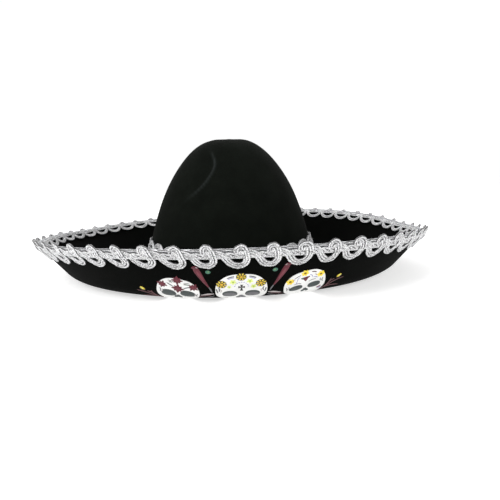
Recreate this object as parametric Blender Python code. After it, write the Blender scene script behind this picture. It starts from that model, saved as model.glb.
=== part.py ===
"""A sombrero: felt crown and upturned felt brim, edged with looped silver gimp braid.

The hat stands on the flat underside of its brim. +Z is up and the printed front faces -Y. Left and
right are as seen from in front of the hat, so +X is its right. The origin is on the hat's axis, in
the plane that it stands on.

The rim is described by an angle round the hat, measured from the front towards +X, a distance down
the brim wall from the braid's top line, and a height off the outer felt face.
"""

import math

import bmesh
import bpy
from mathutils import Vector

MM = 0.001

# Whole hat
RIM_DIAMETER = 390 * MM
HEIGHT = 130 * MM
FELT = 2.8 * MM
GAP = 0.3 * MM
WIDE_GAP = 0.6 * MM

# Brim, described on its underside
OPENING_RADIUS = 84.4 * MM
OPENING_OVAL = 1.03
OVAL_FADE_RADIUS = 110 * MM
REST_RADIUS = 110 * MM
STEP_RADIUS = 126 * MM
STEP_HEIGHT = 0.9 * MM
FLAT_RADIUS = 147.2 * MM
TURN_RADIUS = 24.6 * MM
WALL_ANGLE = math.radians(53.3)
TURN_STEPS = 4

# The rim dips at both sides, and its back is out of true: up on one side and down on the other
SIDE_DIP = 7.2 * MM
WARP_HEIGHT = 4.1 * MM
WARP_START_RADIUS = 150 * MM
WARP_EASE = 0.35

# Crown, as two smooth curves that meet at the shoulder
CROWN_BASE_RADIUS = 87.2 * MM
CROWN_LEAN = math.radians(7)
SHOULDER_RADIUS = 52.4 * MM
SHOULDER_HEIGHT = 102 * MM
SHOULDER_LEAN = math.radians(35)
FOOT_HANDLE = 20 * MM
SHOULDER_HANDLE = 40 * MM
TOP_HANDLE = 12.5 * MM
TOP_SINK = 0.2 * MM
CROWN_STEPS = 4

# Sweatband
SWEATBAND_THICKNESS = 1.0 * MM
SWEATBAND_BOTTOM = 3.5 * MM
SWEATBAND_TOP = 29 * MM

# Braid
SCALLOPS = 54
FIRST_SCALLOP = math.radians(1.7)
PITCH = 2 * math.pi / SCALLOPS
BRAID = 1.5 * MM
BAND_TOP = 1.0 * MM
BAND_BOTTOM = 9.0 * MM
LOOP_DROP = 8.6 * MM
LOOP_SHOULDER = 0.18
INNER_LOOP_BOTTOM = 13.2 * MM
CREST_BASE = 0.7 * MM
PICOT_RISE = 4.8 * MM
PICOT_FRONT = 0.6 * MM
PICOT_BACK = -3.4 * MM

# A knob's middle, and its half widths at the foot and at the top, as shares of a pitch
KNOB_MIDDLE = 0.57
KNOB_FOOT = 0.22
KNOB_TOP = 0.09

# Felt edge and rim wire inside the braid's fold
FELT_EDGE = 3.3 * MM
WIRE_RADIUS = 0.8 * MM
WIRE_CENTRE = 2.2 * MM
WIRE_SIDES = 6

# Hat band
HATBAND_SCALLOPS = 26
HATBAND_BAND_BOTTOM = 10.8 * MM
HATBAND_BAND_TOP = 19.8 * MM
HATBAND_LOOP_DROP = 7.2 * MM
HATBAND_SIDE_LIFT = 6.0 * MM

# Prints
PRINT_CENTRE = math.radians(2.3)
PRINT_THICKNESS = 0.5 * MM
CENTRE_SKULL_WIDTH = 39 * MM
CENTRE_SKULL_HEIGHT = 52 * MM
CENTRE_SKULL_TOP = 24 * MM
SIDE_SKULL_MIDDLE = 47.5 * MM
SIDE_SKULL_WIDTH = 33 * MM
SIDE_SKULL_HEIGHT = 46 * MM
SIDE_SKULL_TOP = 32.2 * MM
SKULL_COLUMNS = 6
SMALL_PRINT_COLUMNS = 2

# A skull's half width down its height, as shares of its whole half width and height
SKULL_OUTLINE = (
    (0, 0.26),
    (0.06, 0.58),
    (0.16, 0.84),
    (0.3, 0.98),
    (0.44, 1),
    (0.58, 0.9),
    (0.7, 0.68),
    (0.84, 0.56),
    (0.95, 0.48),
    (1, 0.34),
)

# Small prints on the +X side, in millimetres: (down from the rim, across from the centre, half width)
STREAK = ((21, 34.2, 1.4), (23.5, 33.3, 2.6), (28, 31.1, 2.2), (34, 27.6, 1.5), (41, 23.2, 0.7))
DOT = ((22.1, 24.8, 0.8), (23, 24.8, 1.7), (24.4, 24.8, 1.7), (25.3, 24.8, 0.8))
BUD = ((51.9, 77.7, 0.8), (53.3, 77.1, 1.7), (54.7, 76.5, 0.8))
TWIG = ((53, 70.8, 0.9), (56, 70.8, 2.8), (59, 70.8, 4), (62, 70, 3.5), (65, 68.6, 0.9))
STROKE = ((48, 24.2, 1), (50, 25, 3.2), (53, 25.6, 3.6), (55.5, 26.4, 1.4))

# The rim line is where the braid's top line would meet the outer felt face
RIM_LINE_RADIUS = (
    RIM_DIAMETER / 2
    - PICOT_RISE * math.cos(WALL_ANGLE)
    - PICOT_FRONT * math.sin(WALL_ANGLE)
)
TURN_END_RADIUS = FLAT_RADIUS + TURN_RADIUS * math.sin(WALL_ANGLE)
TURN_END_HEIGHT = STEP_HEIGHT + TURN_RADIUS * (1 - math.cos(WALL_ANGLE))
WALL_LENGTH = (RIM_LINE_RADIUS - TURN_END_RADIUS) / math.cos(WALL_ANGLE)
RIM_LINE_HEIGHT = TURN_END_HEIGHT + WALL_LENGTH * math.sin(WALL_ANGLE)
TURN_LENGTH = TURN_RADIUS * WALL_ANGLE
FLAT_BLANK_RADIUS = FLAT_RADIUS + TURN_LENGTH + WALL_LENGTH
RING_START = FIRST_SCALLOP - PITCH / 2


def smoothstep(value):
    value = min(max(value, 0), 1)
    return value * value * (3 - 2 * value)


def place(angle, radius, height):
    """The point at this angle, with the head opening's oval and the rim's warp put in."""
    oval_fade = (OVAL_FADE_RADIUS - radius) / (OVAL_FADE_RADIUS - CROWN_BASE_RADIUS)
    oval = 1 + (OPENING_OVAL - 1) * smoothstep(oval_fade)
    rim_share = smoothstep((radius - WARP_START_RADIUS) / (RIM_LINE_RADIUS - WARP_START_RADIUS))
    back_share = smoothstep(-math.cos(angle) / WARP_EASE)
    warp = -SIDE_DIP * math.sin(angle) ** 4 - WARP_HEIGHT * math.sin(2 * angle) * back_share
    x = radius * math.sin(angle)
    y = -radius * math.cos(angle) * oval
    return Vector((x, y, height + warp * rim_share))


def brim_point(distance, out):
    """(radius, height) at a distance down the underside from the rim line, and out from the felt."""
    if distance <= WALL_LENGTH:
        radius = RIM_LINE_RADIUS - distance * math.cos(WALL_ANGLE)
        height = RIM_LINE_HEIGHT - distance * math.sin(WALL_ANGLE)
        slope = WALL_ANGLE
    else:
        slope = max(WALL_ANGLE - (distance - WALL_LENGTH) / TURN_RADIUS, 0)
        flat_run = max(distance - WALL_LENGTH - TURN_LENGTH, 0)
        radius = FLAT_RADIUS + TURN_RADIUS * math.sin(slope) - flat_run
        height = STEP_HEIGHT + TURN_RADIUS * (1 - math.cos(slope))
    return radius + out * math.sin(slope), height - out * math.cos(slope)


def cubic(start, start_handle, end_handle, end, share):
    rest = 1 - share
    return (
        rest**3 * start
        + 3 * rest**2 * share * start_handle
        + 3 * rest * share**2 * end_handle
        + share**3 * end
    )


def crown_curve():
    """The two curves of the crown's outer face from foot to top, each as four (radius, height) points."""
    base = Vector((CROWN_BASE_RADIUS, FELT + GAP))
    shoulder = Vector((SHOULDER_RADIUS, SHOULDER_HEIGHT))
    top = Vector((0, HEIGHT - TOP_SINK))
    up_wall = FOOT_HANDLE * Vector((-math.sin(CROWN_LEAN), math.cos(CROWN_LEAN)))
    up_shoulder = SHOULDER_HANDLE * Vector((-math.sin(SHOULDER_LEAN), math.cos(SHOULDER_LEAN)))
    across_top = Vector((TOP_HANDLE, 0))
    lower = (base, base + up_wall, shoulder - up_shoulder, shoulder)
    upper = (shoulder, shoulder + up_shoulder, top + across_top, top)
    return lower, upper


def crown_outline(offset):
    """Points of the crown's face from foot to top, moved in by offset."""
    points = []
    for curve in crown_curve():
        shares = [step / CROWN_STEPS for step in range(CROWN_STEPS + 1)]
        points += [cubic(*curve, share) for share in shares[:-1]]
    points.append(cubic(*crown_curve()[1], 1))
    moved = []
    for index, point in enumerate(points):
        before = points[max(index - 1, 0)]
        after = points[min(index + 1, len(points) - 1)]
        along = (after - before).normalized()
        moved.append(point + offset * Vector((-along.y, along.x)))
    moved[0].y = points[0].y
    moved[-1] = Vector((0, HEIGHT - TOP_SINK - offset))
    return moved


def crown_radius(height):
    """The radius of the crown's outer face at a height on its lower curve."""
    low, high = 0.0, 1.0
    lower = crown_curve()[0]
    for _ in range(30):
        middle = (low + high) / 2
        if cubic(*lower, middle).y < height:
            low = middle
        else:
            high = middle
    return cubic(*lower, low).x


def material(name, colour, roughness, metallic):
    made = bpy.data.materials.new(name)
    made.use_nodes = True
    shader = made.node_tree.nodes["Principled BSDF"]
    shader.inputs["Base Color"].default_value = (*colour, 1)
    shader.inputs["Roughness"].default_value = roughness
    shader.inputs["Metallic"].default_value = metallic
    made.diffuse_color = (*colour, 1)
    return made


def add_object(name, points, faces, slot):
    """A shaded object with its faces turned outwards."""
    mesh = bpy.data.meshes.new(name)
    mesh.from_pydata(points, [], faces)
    shape = bmesh.new()
    shape.from_mesh(mesh)
    bmesh.ops.recalc_face_normals(shape, faces=shape.faces)
    shape.to_mesh(mesh)
    shape.free()
    mesh.materials.append(slot)
    mesh.shade_smooth()
    mesh.set_sharp_from_angle(angle=math.radians(40))
    made = bpy.data.objects.new(name, mesh)
    bpy.context.scene.collection.objects.link(made)
    return made


def ring(name, sections, slot):
    """A closed ring through sections, which all have the same number of points."""
    count = len(sections[0])
    points = [point for section in sections for point in section]
    faces = []
    for index in range(len(sections)):
        here = index * count
        there = (index + 1) % len(sections) * count
        for corner in range(count):
            following = (corner + 1) % count
            faces.append((here + corner, here + following, there + following, there + corner))
    return add_object(name, points, faces, slot)


def ring_angles(shares, count, start):
    """Angles all round, at these shares of each of count equal pitches."""
    pitch = 2 * math.pi / count
    return [start + (index + share) * pitch for index in range(count) for share in shares]


def turned_ring(name, outline, slot):
    """A ring of one outline of (radius, height) points, turned about the hat's axis."""
    angles = ring_angles((0,), SCALLOPS, RING_START)
    sections = [[place(angle, *point) for point in outline] for angle in angles]
    return ring(name, sections, slot)


def make_crown_shell(slot):
    """The crown: an outer and an inner face, joined round the foot and closed at the top."""
    outer = crown_outline(0)
    inner = crown_outline(FELT)
    outline = inner[-2::-1] + outer[:-1]
    angles = ring_angles((0,), SCALLOPS, RING_START)
    points = [place(angle, *point) for angle in angles for point in outline]
    inner_top = len(points)
    outer_top = inner_top + 1
    points += [place(0, *inner[-1]), place(0, *outer[-1])]
    count = len(outline)
    faces = []
    for index in range(len(angles)):
        here = index * count
        there = (index + 1) % len(angles) * count
        for row in range(count - 1):
            faces.append((here + row, here + row + 1, there + row + 1, there + row))
        faces.append((here, there, inner_top))
        faces.append((here + count - 1, outer_top, there + count - 1))
    return add_object("crown_shell", points, faces, slot)


def make_brim(slot):
    """The brim: flat where it rests, a small step up, a tight turn and a straight wall."""
    turn = [WALL_LENGTH + TURN_LENGTH * step / TURN_STEPS for step in range(TURN_STEPS, -1, -1)]
    under = [(OPENING_RADIUS, 0), (REST_RADIUS, 0), (STEP_RADIUS, STEP_HEIGHT)]
    under += [brim_point(distance, 0) for distance in turn]
    under.append(brim_point(FELT_EDGE, 0))
    over = [brim_point(FELT_EDGE, -FELT)]
    over += [brim_point(distance, -FELT) for distance in reversed(turn)]
    over += [(STEP_RADIUS, STEP_HEIGHT + FELT), (REST_RADIUS, FELT), (OPENING_RADIUS, FELT)]
    return turned_ring("brim", under + over, slot)


def make_sweatband(slot):
    outer = []
    inner = []
    for height in (SWEATBAND_TOP, SWEATBAND_BOTTOM):
        radius = crown_radius(height) - FELT - WIDE_GAP
        outer.append((radius, height))
        inner.insert(0, (radius - SWEATBAND_THICKNESS, height))
    return turned_ring("sweatband", outer + inner, slot)


def make_rim_wire(slot):
    outline = []
    for side in range(WIRE_SIDES):
        turn = 2 * math.pi * side / WIRE_SIDES
        distance = WIRE_CENTRE + WIRE_RADIUS * math.cos(turn)
        outline.append(brim_point(distance, WIRE_RADIUS * math.sin(turn) - FELT / 2))
    return turned_ring("rim_wire", outline, slot)


def make_outer_band(slot):
    corners = ((BAND_TOP, GAP), (BAND_TOP, GAP + BRAID), (BAND_BOTTOM, GAP + BRAID), (BAND_BOTTOM, GAP))
    outline = [brim_point(*corner) for corner in corners]
    return turned_ring("rim_braid_outer_band", outline, slot)


def rim_strip(name, stations, slot):
    """A ring of four-cornered sections on the rim. Each station is (share of the pitch, corners)."""
    sections = []
    for index in range(SCALLOPS):
        for share, corners in stations:
            angle = RING_START + (index + share) * PITCH
            sections.append([place(angle, *brim_point(*corner)) for corner in corners])
    return ring(name, sections, slot)


def strap(top, bottom, near, far):
    """The four corners of a strap between two distances and two heights off the felt."""
    return ((top, near), (top, far), (bottom, far), (bottom, near))


def make_outer_loops(slot):
    """Scallops below the band, each with a long thin opening at its top."""
    top = BAND_BOTTOM + GAP
    near, far = GAP, GAP + BRAID
    valley = strap(top, top + 0.25 * LOOP_DROP, near, far)
    shoulder = strap(top, top + 0.8 * LOOP_DROP, near, far)
    middle = strap(top + 0.3 * LOOP_DROP, top + LOOP_DROP, near, far)
    stations = ((0, valley), (LOOP_SHOULDER, shoulder), (0.5, middle), (1 - LOOP_SHOULDER, shoulder))
    return rim_strip("rim_braid_outer_loops", stations, slot)


def make_inner_loops(slot):
    """Scallops inside the rim, each with a small opening at its top."""
    near = -FELT - WIDE_GAP
    far = near - BRAID
    valley = strap(BAND_TOP, 0.42 * INNER_LOOP_BOTTOM, near, far)
    shoulder = strap(BAND_TOP, 0.84 * INNER_LOOP_BOTTOM, near, far)
    middle = strap(0.3 * INNER_LOOP_BOTTOM, INNER_LOOP_BOTTOM, near, far)
    stations = ((0, valley), (LOOP_SHOULDER, shoulder), (0.5, middle), (1 - LOOP_SHOULDER, shoulder))
    return rim_strip("rim_braid_inner_loops", stations, slot)


def make_crest(slot):
    """The fold of the braid over the rim, with one knob for each scallop."""
    front = GAP + BRAID
    back = -FELT - WIDE_GAP - BRAID

    def cap(rise):
        return (
            (-rise, PICOT_FRONT),
            (CREST_BASE, front),
            (CREST_BASE, back),
            (-rise, PICOT_BACK),
        )

    low = cap(0.1 * PICOT_RISE)
    high = cap(PICOT_RISE)
    rises = (KNOB_MIDDLE + offset for offset in (-KNOB_FOOT, -KNOB_TOP, KNOB_TOP, KNOB_FOOT))
    caps = (low, high, high, low)
    stations = ((0, low), *zip(rises, caps))
    return rim_strip("rim_braid_crest", stations, slot)


def crown_strip(name, stations, slot):
    """A ring of four-cornered sections round the crown's foot, a little higher at the sides."""
    sections = []
    pitch = 2 * math.pi / HATBAND_SCALLOPS
    for index in range(HATBAND_SCALLOPS):
        for share, low, high in stations:
            angle = (index + share) * pitch
            lift = HATBAND_SIDE_LIFT * math.sin(angle) ** 2
            section = []
            for height, out in ((low, 0), (high, 0), (high, BRAID), (low, BRAID)):
                radius = crown_radius(height + lift) + GAP + out
                section.append(place(angle, radius, height + lift))
            sections.append(section)
    return ring(name, sections, slot)


def make_hatband(slot):
    """The crown's braid: a band with scallops above and below it."""
    low, high, drop = HATBAND_BAND_BOTTOM, HATBAND_BAND_TOP, HATBAND_LOOP_DROP
    crown_strip("hatband_band", ((0, low, high), (0.5, low, high)), slot)
    shares = ((0, 0, 0.3), (LOOP_SHOULDER, 0, 0.85), (0.5, 0.3, 1), (1 - LOOP_SHOULDER, 0, 0.85))
    top = high + GAP
    upper = [(share, top + near * drop, top + far * drop) for share, near, far in shares]
    crown_strip("hatband_upper_loops", upper, slot)
    base = low - GAP
    lower = [(share, base - far * drop, base - near * drop) for share, near, far in shares]
    crown_strip("hatband_lower_loops", lower, slot)


def printed(across, down, out):
    """A point of the prints, which lie upright on the brim's flat blank, out from its outer face."""
    front = FLAT_BLANK_RADIUS - down
    angle = PRINT_CENTRE + math.atan2(across, front)
    return place(angle, *brim_point(FLAT_BLANK_RADIUS - math.hypot(across, front), out))


def print_patch(name, rows, columns, slot):
    """A thin patch on the felt. Each row is (distance down from the rim, middle, half width)."""
    outs = (GAP, GAP + PRINT_THICKNESS)
    points = []
    for out in outs:
        for down, middle, half in rows:
            for column in range(columns + 1):
                across = middle + half * (2 * column / columns - 1)
                points.append(printed(across, down, out))
    wide = columns + 1
    back = len(rows) * wide
    faces = []
    for row in range(len(rows) - 1):
        for column in range(columns):
            corner = row * wide + column
            quad = (corner, corner + 1, corner + wide + 1, corner + wide)
            faces.append(quad)
            faces.append(tuple(index + back for index in reversed(quad)))
    border = list(range(columns))
    border += [row * wide + columns for row in range(len(rows) - 1)]
    border += [(len(rows) - 1) * wide + column for column in range(columns, 0, -1)]
    border += [row * wide for row in range(len(rows) - 1, 0, -1)]
    for index, here in enumerate(border):
        there = border[(index + 1) % len(border)]
        faces.append((here, there, there + back, here + back))
    return add_object(name, points, faces, slot)


def make_skull_print(name, middle, width, height, top, slot):
    rows = [(top + share * height, middle, half * width / 2) for share, half in SKULL_OUTLINE]
    return print_patch(name, rows, SKULL_COLUMNS, slot)


def make_small_prints(side, sign, maroon, green, yellow, white):
    """The streak, dot, bud, twig and stroke on one side of the centre skull."""
    for label, outline, slot in (
        ("streak", STREAK, maroon),
        ("dot", DOT, green),
        ("bud", BUD, yellow),
        ("twig", TWIG, maroon),
        ("stroke", STROKE, white),
    ):
        rows = [(down * MM, sign * middle * MM, half * MM) for down, middle, half in outline]
        print_patch(f"{label}_print_{side}", rows, SMALL_PRINT_COLUMNS, slot)


def main():
    for old in list(bpy.data.objects):
        bpy.data.objects.remove(old)
    felt = material("felt", (0.012, 0.013, 0.011), 0.95, 0)
    gimp = material("silver_gimp", (0.78, 0.79, 0.8), 0.32, 0.9)
    tape = material("sweatband_tape", (0.02, 0.02, 0.02), 0.8, 0)
    wire = material("rim_wire_steel", (0.55, 0.55, 0.56), 0.35, 1)
    white = material("print_white", (0.82, 0.82, 0.8), 0.6, 0)
    maroon = material("print_maroon", (0.22, 0.02, 0.03), 0.6, 0)
    green = material("print_green", (0.08, 0.35, 0.1), 0.6, 0)
    yellow = material("print_yellow", (0.85, 0.6, 0.05), 0.6, 0)
    make_crown_shell(felt)
    make_brim(felt)
    make_sweatband(tape)
    make_rim_wire(wire)
    make_outer_band(gimp)
    make_crest(gimp)
    make_outer_loops(gimp)
    make_inner_loops(gimp)
    make_hatband(gimp)
    centre = (CENTRE_SKULL_WIDTH, CENTRE_SKULL_HEIGHT, CENTRE_SKULL_TOP)
    side = (SIDE_SKULL_WIDTH, SIDE_SKULL_HEIGHT, SIDE_SKULL_TOP)
    make_skull_print("skull_print_centre", 0, *centre, white)
    make_skull_print("skull_print_left", -SIDE_SKULL_MIDDLE, *side, white)
    make_skull_print("skull_print_right", SIDE_SKULL_MIDDLE, *side, white)
    make_small_prints("left", -1, maroon, green, yellow, white)
    make_small_prints("right", 1, maroon, green, yellow, white)


main()
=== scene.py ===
"""The looks of a sombrero: black felt, folded silver gimp braid, printed skulls and flowers.

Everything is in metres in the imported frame: +Z up, the printed front towards -Y, and left and right
as seen from in front. The braid is laid out in millimetres along the rim, down the brim's wall from
the rim line, and out from the outer felt face. The prints are laid out in millimetres across and
down the flat blank that the brim was made from.
"""

import math

import bpy
import numpy as np
from mathutils import Matrix, Vector


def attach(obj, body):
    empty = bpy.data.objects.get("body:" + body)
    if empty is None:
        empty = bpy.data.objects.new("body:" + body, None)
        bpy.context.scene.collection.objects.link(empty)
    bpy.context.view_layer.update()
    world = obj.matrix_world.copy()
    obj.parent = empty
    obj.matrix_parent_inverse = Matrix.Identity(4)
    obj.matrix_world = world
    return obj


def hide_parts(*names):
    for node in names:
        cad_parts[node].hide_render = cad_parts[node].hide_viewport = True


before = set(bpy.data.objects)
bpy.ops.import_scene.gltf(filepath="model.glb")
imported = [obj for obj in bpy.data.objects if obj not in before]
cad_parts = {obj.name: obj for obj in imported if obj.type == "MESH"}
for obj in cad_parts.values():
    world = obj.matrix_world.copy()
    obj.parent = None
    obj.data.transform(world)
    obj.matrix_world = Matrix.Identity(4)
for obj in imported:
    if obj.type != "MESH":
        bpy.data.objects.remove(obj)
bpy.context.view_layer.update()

MM = 0.001

# Camera
CAMERA_DISTANCE = 0.498
CAMERA_HEIGHT = 0.0879
CAMERA_LENS = 33.9
CAMERA_SHIFT = 0.0385
CAMERA_DIP = math.radians(8.3)
CAMERA_ROLL = math.radians(1.9)

# The felt body, with the CAD's sizes
RIM_RADIUS = 195 * MM
HEIGHT = 130 * MM
FELT = 2.8 * MM
GAP = 0.3 * MM
OPENING_RADIUS = 84.4 * MM
OPENING_OVAL = 1.03
OVAL_FADE_RADIUS = 110 * MM
REST_RADIUS = 110 * MM
STEP_RADIUS = 126 * MM
STEP_HEIGHT = 0.9 * MM
FLAT_RADIUS = 147.2 * MM
TURN_RADIUS = 24.6 * MM
WALL_ANGLE = math.radians(53.3)
SIDE_DIP = 7.2 * MM
WARP_HEIGHT = 4.1 * MM
WARP_START_RADIUS = 150 * MM
WARP_EASE = 0.35
CROWN_BASE_RADIUS = 87.2 * MM
CROWN_LEAN = math.radians(7)
SHOULDER_RADIUS = 52.4 * MM
SHOULDER_HEIGHT = 102 * MM
SHOULDER_LEAN = math.radians(35)
FOOT_HANDLE = 20 * MM
SHOULDER_HANDLE = 40 * MM
TOP_HANDLE = 12.5 * MM
TOP_SINK = 0.2 * MM
FELT_EDGE = 3.3 * MM
KNOB_RISE = 4.8 * MM
KNOB_FRONT = 0.6 * MM

RIM_LINE_RADIUS = RIM_RADIUS - KNOB_RISE * math.cos(WALL_ANGLE) - KNOB_FRONT * math.sin(WALL_ANGLE)
TURN_END_RADIUS = FLAT_RADIUS + TURN_RADIUS * math.sin(WALL_ANGLE)
WALL_LENGTH = (RIM_LINE_RADIUS - TURN_END_RADIUS) / math.cos(WALL_ANGLE)
TURN_LENGTH = TURN_RADIUS * WALL_ANGLE
FLAT_BLANK_RADIUS = FLAT_RADIUS + TURN_LENGTH + WALL_LENGTH

# Points up each half of the crown's face, and round the crown, the brim and the sweatband
CROWN_STEPS = 46
CROWN_SPOKES = 400
BRIM_SPOKES = 420
SWEATBAND_SPOKES = 360

# Braid
SCALLOPS = 54
REPEAT = 2 * math.pi * RIM_LINE_RADIUS / SCALLOPS / MM
FIRST_SCALLOP = math.radians(1.25)
CORD_RADIUS = 0.87 * MM
CORD_SPACING = 1.9
CORD_SIDES = 8
CORD_RING = 0.62 * MM
CORD_LOBE = 0.22
CORD_TWIST = 2.8 * MM

# A cord's end is this share of its full size
CORD_END = 0.3

# Points between two control points of a line, and of a printed stroke
SPLINE_SAMPLES = 9
STROKE_SAMPLES = 6

# Millimetres that a cord's pattern is shifted by, for each metre of its starting point's coordinates
CORD_PATTERN_SHIFT = 4000

# Hat band
HATBAND_SCALLOPS = 26
HATBAND_REPEAT = 20.8
HATBAND_MIDDLE = 15.3 * MM
HATBAND_SIDE_LIFT = 6.0 * MM

# Prints
PRINT_CENTRE = math.radians(2.3)
PRINT_LIFT = 0.22 * MM
PRINT_LAYER = 0.05 * MM


def smoothstep(value):
    value = np.clip(value, 0, 1)
    return value * value * (3 - 2 * value)


def unit(vectors):
    """The vectors with a length of one."""
    return vectors / np.linalg.norm(vectors, axis=-1)[..., None]


def square_to(line):
    """Unit vectors square to a flat line at each of its points, on its left where y is up."""
    ahead = unit(np.gradient(line, axis=0))
    return np.stack([-ahead[:, 1], ahead[:, 0]], axis=1)


def place(angle, radius, height):
    """Points at these angles, radii and heights, with the opening's oval and the rim's warp put in."""
    fade = (OVAL_FADE_RADIUS - radius) / (OVAL_FADE_RADIUS - CROWN_BASE_RADIUS)
    oval = 1 + (OPENING_OVAL - 1) * smoothstep(fade)
    rim_share = smoothstep((radius - WARP_START_RADIUS) / (RIM_LINE_RADIUS - WARP_START_RADIUS))
    back_share = smoothstep(-np.cos(angle) / WARP_EASE)
    warp = -SIDE_DIP * np.sin(angle) ** 4 - WARP_HEIGHT * np.sin(2 * angle) * back_share
    across, along = radius * np.sin(angle), -radius * np.cos(angle) * oval
    return np.stack([across, along, height + warp * rim_share], axis=-1)


def brim_point(distance, out):
    """Radius and height at a distance down the brim's outer face and a height off it."""
    slope = np.clip(WALL_ANGLE - (distance - WALL_LENGTH) / TURN_RADIUS, 0, WALL_ANGLE)
    up_wall = np.maximum(WALL_LENGTH - distance, 0)
    flat_run = np.maximum(distance - WALL_LENGTH - TURN_LENGTH, 0)
    radius = FLAT_RADIUS + TURN_RADIUS * np.sin(slope) + up_wall * math.cos(WALL_ANGLE) - flat_run
    height = STEP_HEIGHT + TURN_RADIUS * (1 - np.cos(slope)) + up_wall * math.sin(WALL_ANGLE)
    return radius + out * np.sin(slope), height - out * np.cos(slope)


def rim_place(along, down, out):
    """Points on the rim, from millimetres along, down and out."""
    angle = FIRST_SCALLOP + along / REPEAT * 2 * math.pi / SCALLOPS
    return place(angle, *brim_point(down * MM, out * MM))


def cubic(points, share):
    start, start_handle, end_handle, end = [np.array(point)[None, :] for point in points]
    share = np.asarray(share)[:, None]
    rest = 1 - share
    return (
        rest**3 * start
        + 3 * rest**2 * share * start_handle
        + 3 * rest * share**2 * end_handle
        + share**3 * end
    )


def crown_profile(steps):
    """(radius, height) points of the crown's outer face from foot to top."""
    base = np.array((CROWN_BASE_RADIUS, FELT + GAP))
    shoulder = np.array((SHOULDER_RADIUS, SHOULDER_HEIGHT))
    top = np.array((0, HEIGHT - TOP_SINK))
    up_wall = FOOT_HANDLE * np.array((-math.sin(CROWN_LEAN), math.cos(CROWN_LEAN)))
    up_shoulder = SHOULDER_HANDLE * np.array((-math.sin(SHOULDER_LEAN), math.cos(SHOULDER_LEAN)))
    across_top = np.array((TOP_HANDLE, 0))
    shares = np.linspace(0, 1, steps)
    lower = cubic((base, base + up_wall, shoulder - up_shoulder, shoulder), shares)
    upper = cubic((shoulder, shoulder + up_shoulder, top + across_top, top), shares)
    return np.concatenate([lower, upper[1:]])


def crown_wall():
    """The crown's profile from its foot to its shoulder."""
    return crown_profile(CROWN_STEPS)[:CROWN_STEPS]


# ---- meshes ----


def grid_faces(rows, columns, wrap_rows=False, wrap_columns=False):
    """Quads of a grid of points, each row following the one before."""
    row = np.arange(rows if wrap_rows else rows - 1)
    column = np.arange(columns if wrap_columns else columns - 1)
    here, corner = np.meshgrid(row * columns, column, indexing="ij")
    there = (here + columns) % (rows * columns)
    beside = (corner + 1) % columns
    quads = [here + corner, here + beside, there + beside, there + corner]
    return np.stack(quads, axis=-1).reshape(-1, 4)


def linked(name, data):
    """A new object in the scene."""
    made = bpy.data.objects.new(name, data)
    bpy.context.scene.collection.objects.link(made)
    return made


def add_piece(name, points, quads, material, replaces=(), uv=None, wear_and_highlight=None):
    """A shaded piece of the object on its body, with faces out and its CAD nodes stood for."""
    points = np.asarray(points, dtype=float).reshape(-1, 3)
    a, b, c, d = (points[quads[:, corner]] for corner in range(4))
    volume = np.sum(a * np.cross(b, c)) + np.sum(a * np.cross(c, d))
    if volume < 0:
        quads = quads[:, ::-1]
    mesh = bpy.data.meshes.new(name)
    mesh.vertices.add(len(points))
    mesh.vertices.foreach_set("co", points.ravel())
    mesh.loops.add(quads.size)
    mesh.loops.foreach_set("vertex_index", quads.ravel().astype(np.int32))
    mesh.polygons.add(len(quads))
    mesh.polygons.foreach_set("loop_start", np.arange(0, quads.size, 4, dtype=np.int32))
    mesh.update(calc_edges=True)
    if uv is not None:
        layer = mesh.uv_layers.new(name="cord")
        layer.data.foreach_set("uv", np.asarray(uv).reshape(-1, 2)[quads.ravel()].ravel())
    if wear_and_highlight is not None:
        marks = mesh.attributes.new("wear_and_highlight", "FLOAT", "POINT").data
        marks.foreach_set("value", np.asarray(wear_and_highlight, dtype=float).ravel())
    mesh.validate()
    mesh.shade_smooth()
    mesh.materials.append(material)
    made = linked(name, mesh)
    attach(made, "root")
    if replaces:
        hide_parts(*replaces)


def joined(parts):
    """One (points, quads, uv) from several."""
    points, quads, uvs, start = [], [], [], 0
    for part_points, part_quads, part_uv in parts:
        points.append(part_points.reshape(-1, 3))
        uvs.append(part_uv.reshape(-1, 2))
        quads.append(part_quads + start)
        start += len(points[-1])
    return np.concatenate(points), np.concatenate(quads), np.concatenate(uvs)


def resampled(line, spacing, closed):
    """The line's points, evenly spaced along it."""
    if closed:
        line = np.concatenate([line, line[:1]])
    run = np.concatenate([[0], np.cumsum(np.linalg.norm(np.diff(line, axis=0), axis=1))])
    count = max(int(round(run[-1] / spacing)), 4)
    at = np.linspace(0, run[-1], count + 1)
    even = np.stack([np.interp(at, run, line[:, axis]) for axis in range(line.shape[1])], axis=1)
    return (even[:-1], at[:-1]) if closed else (even, at)


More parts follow.
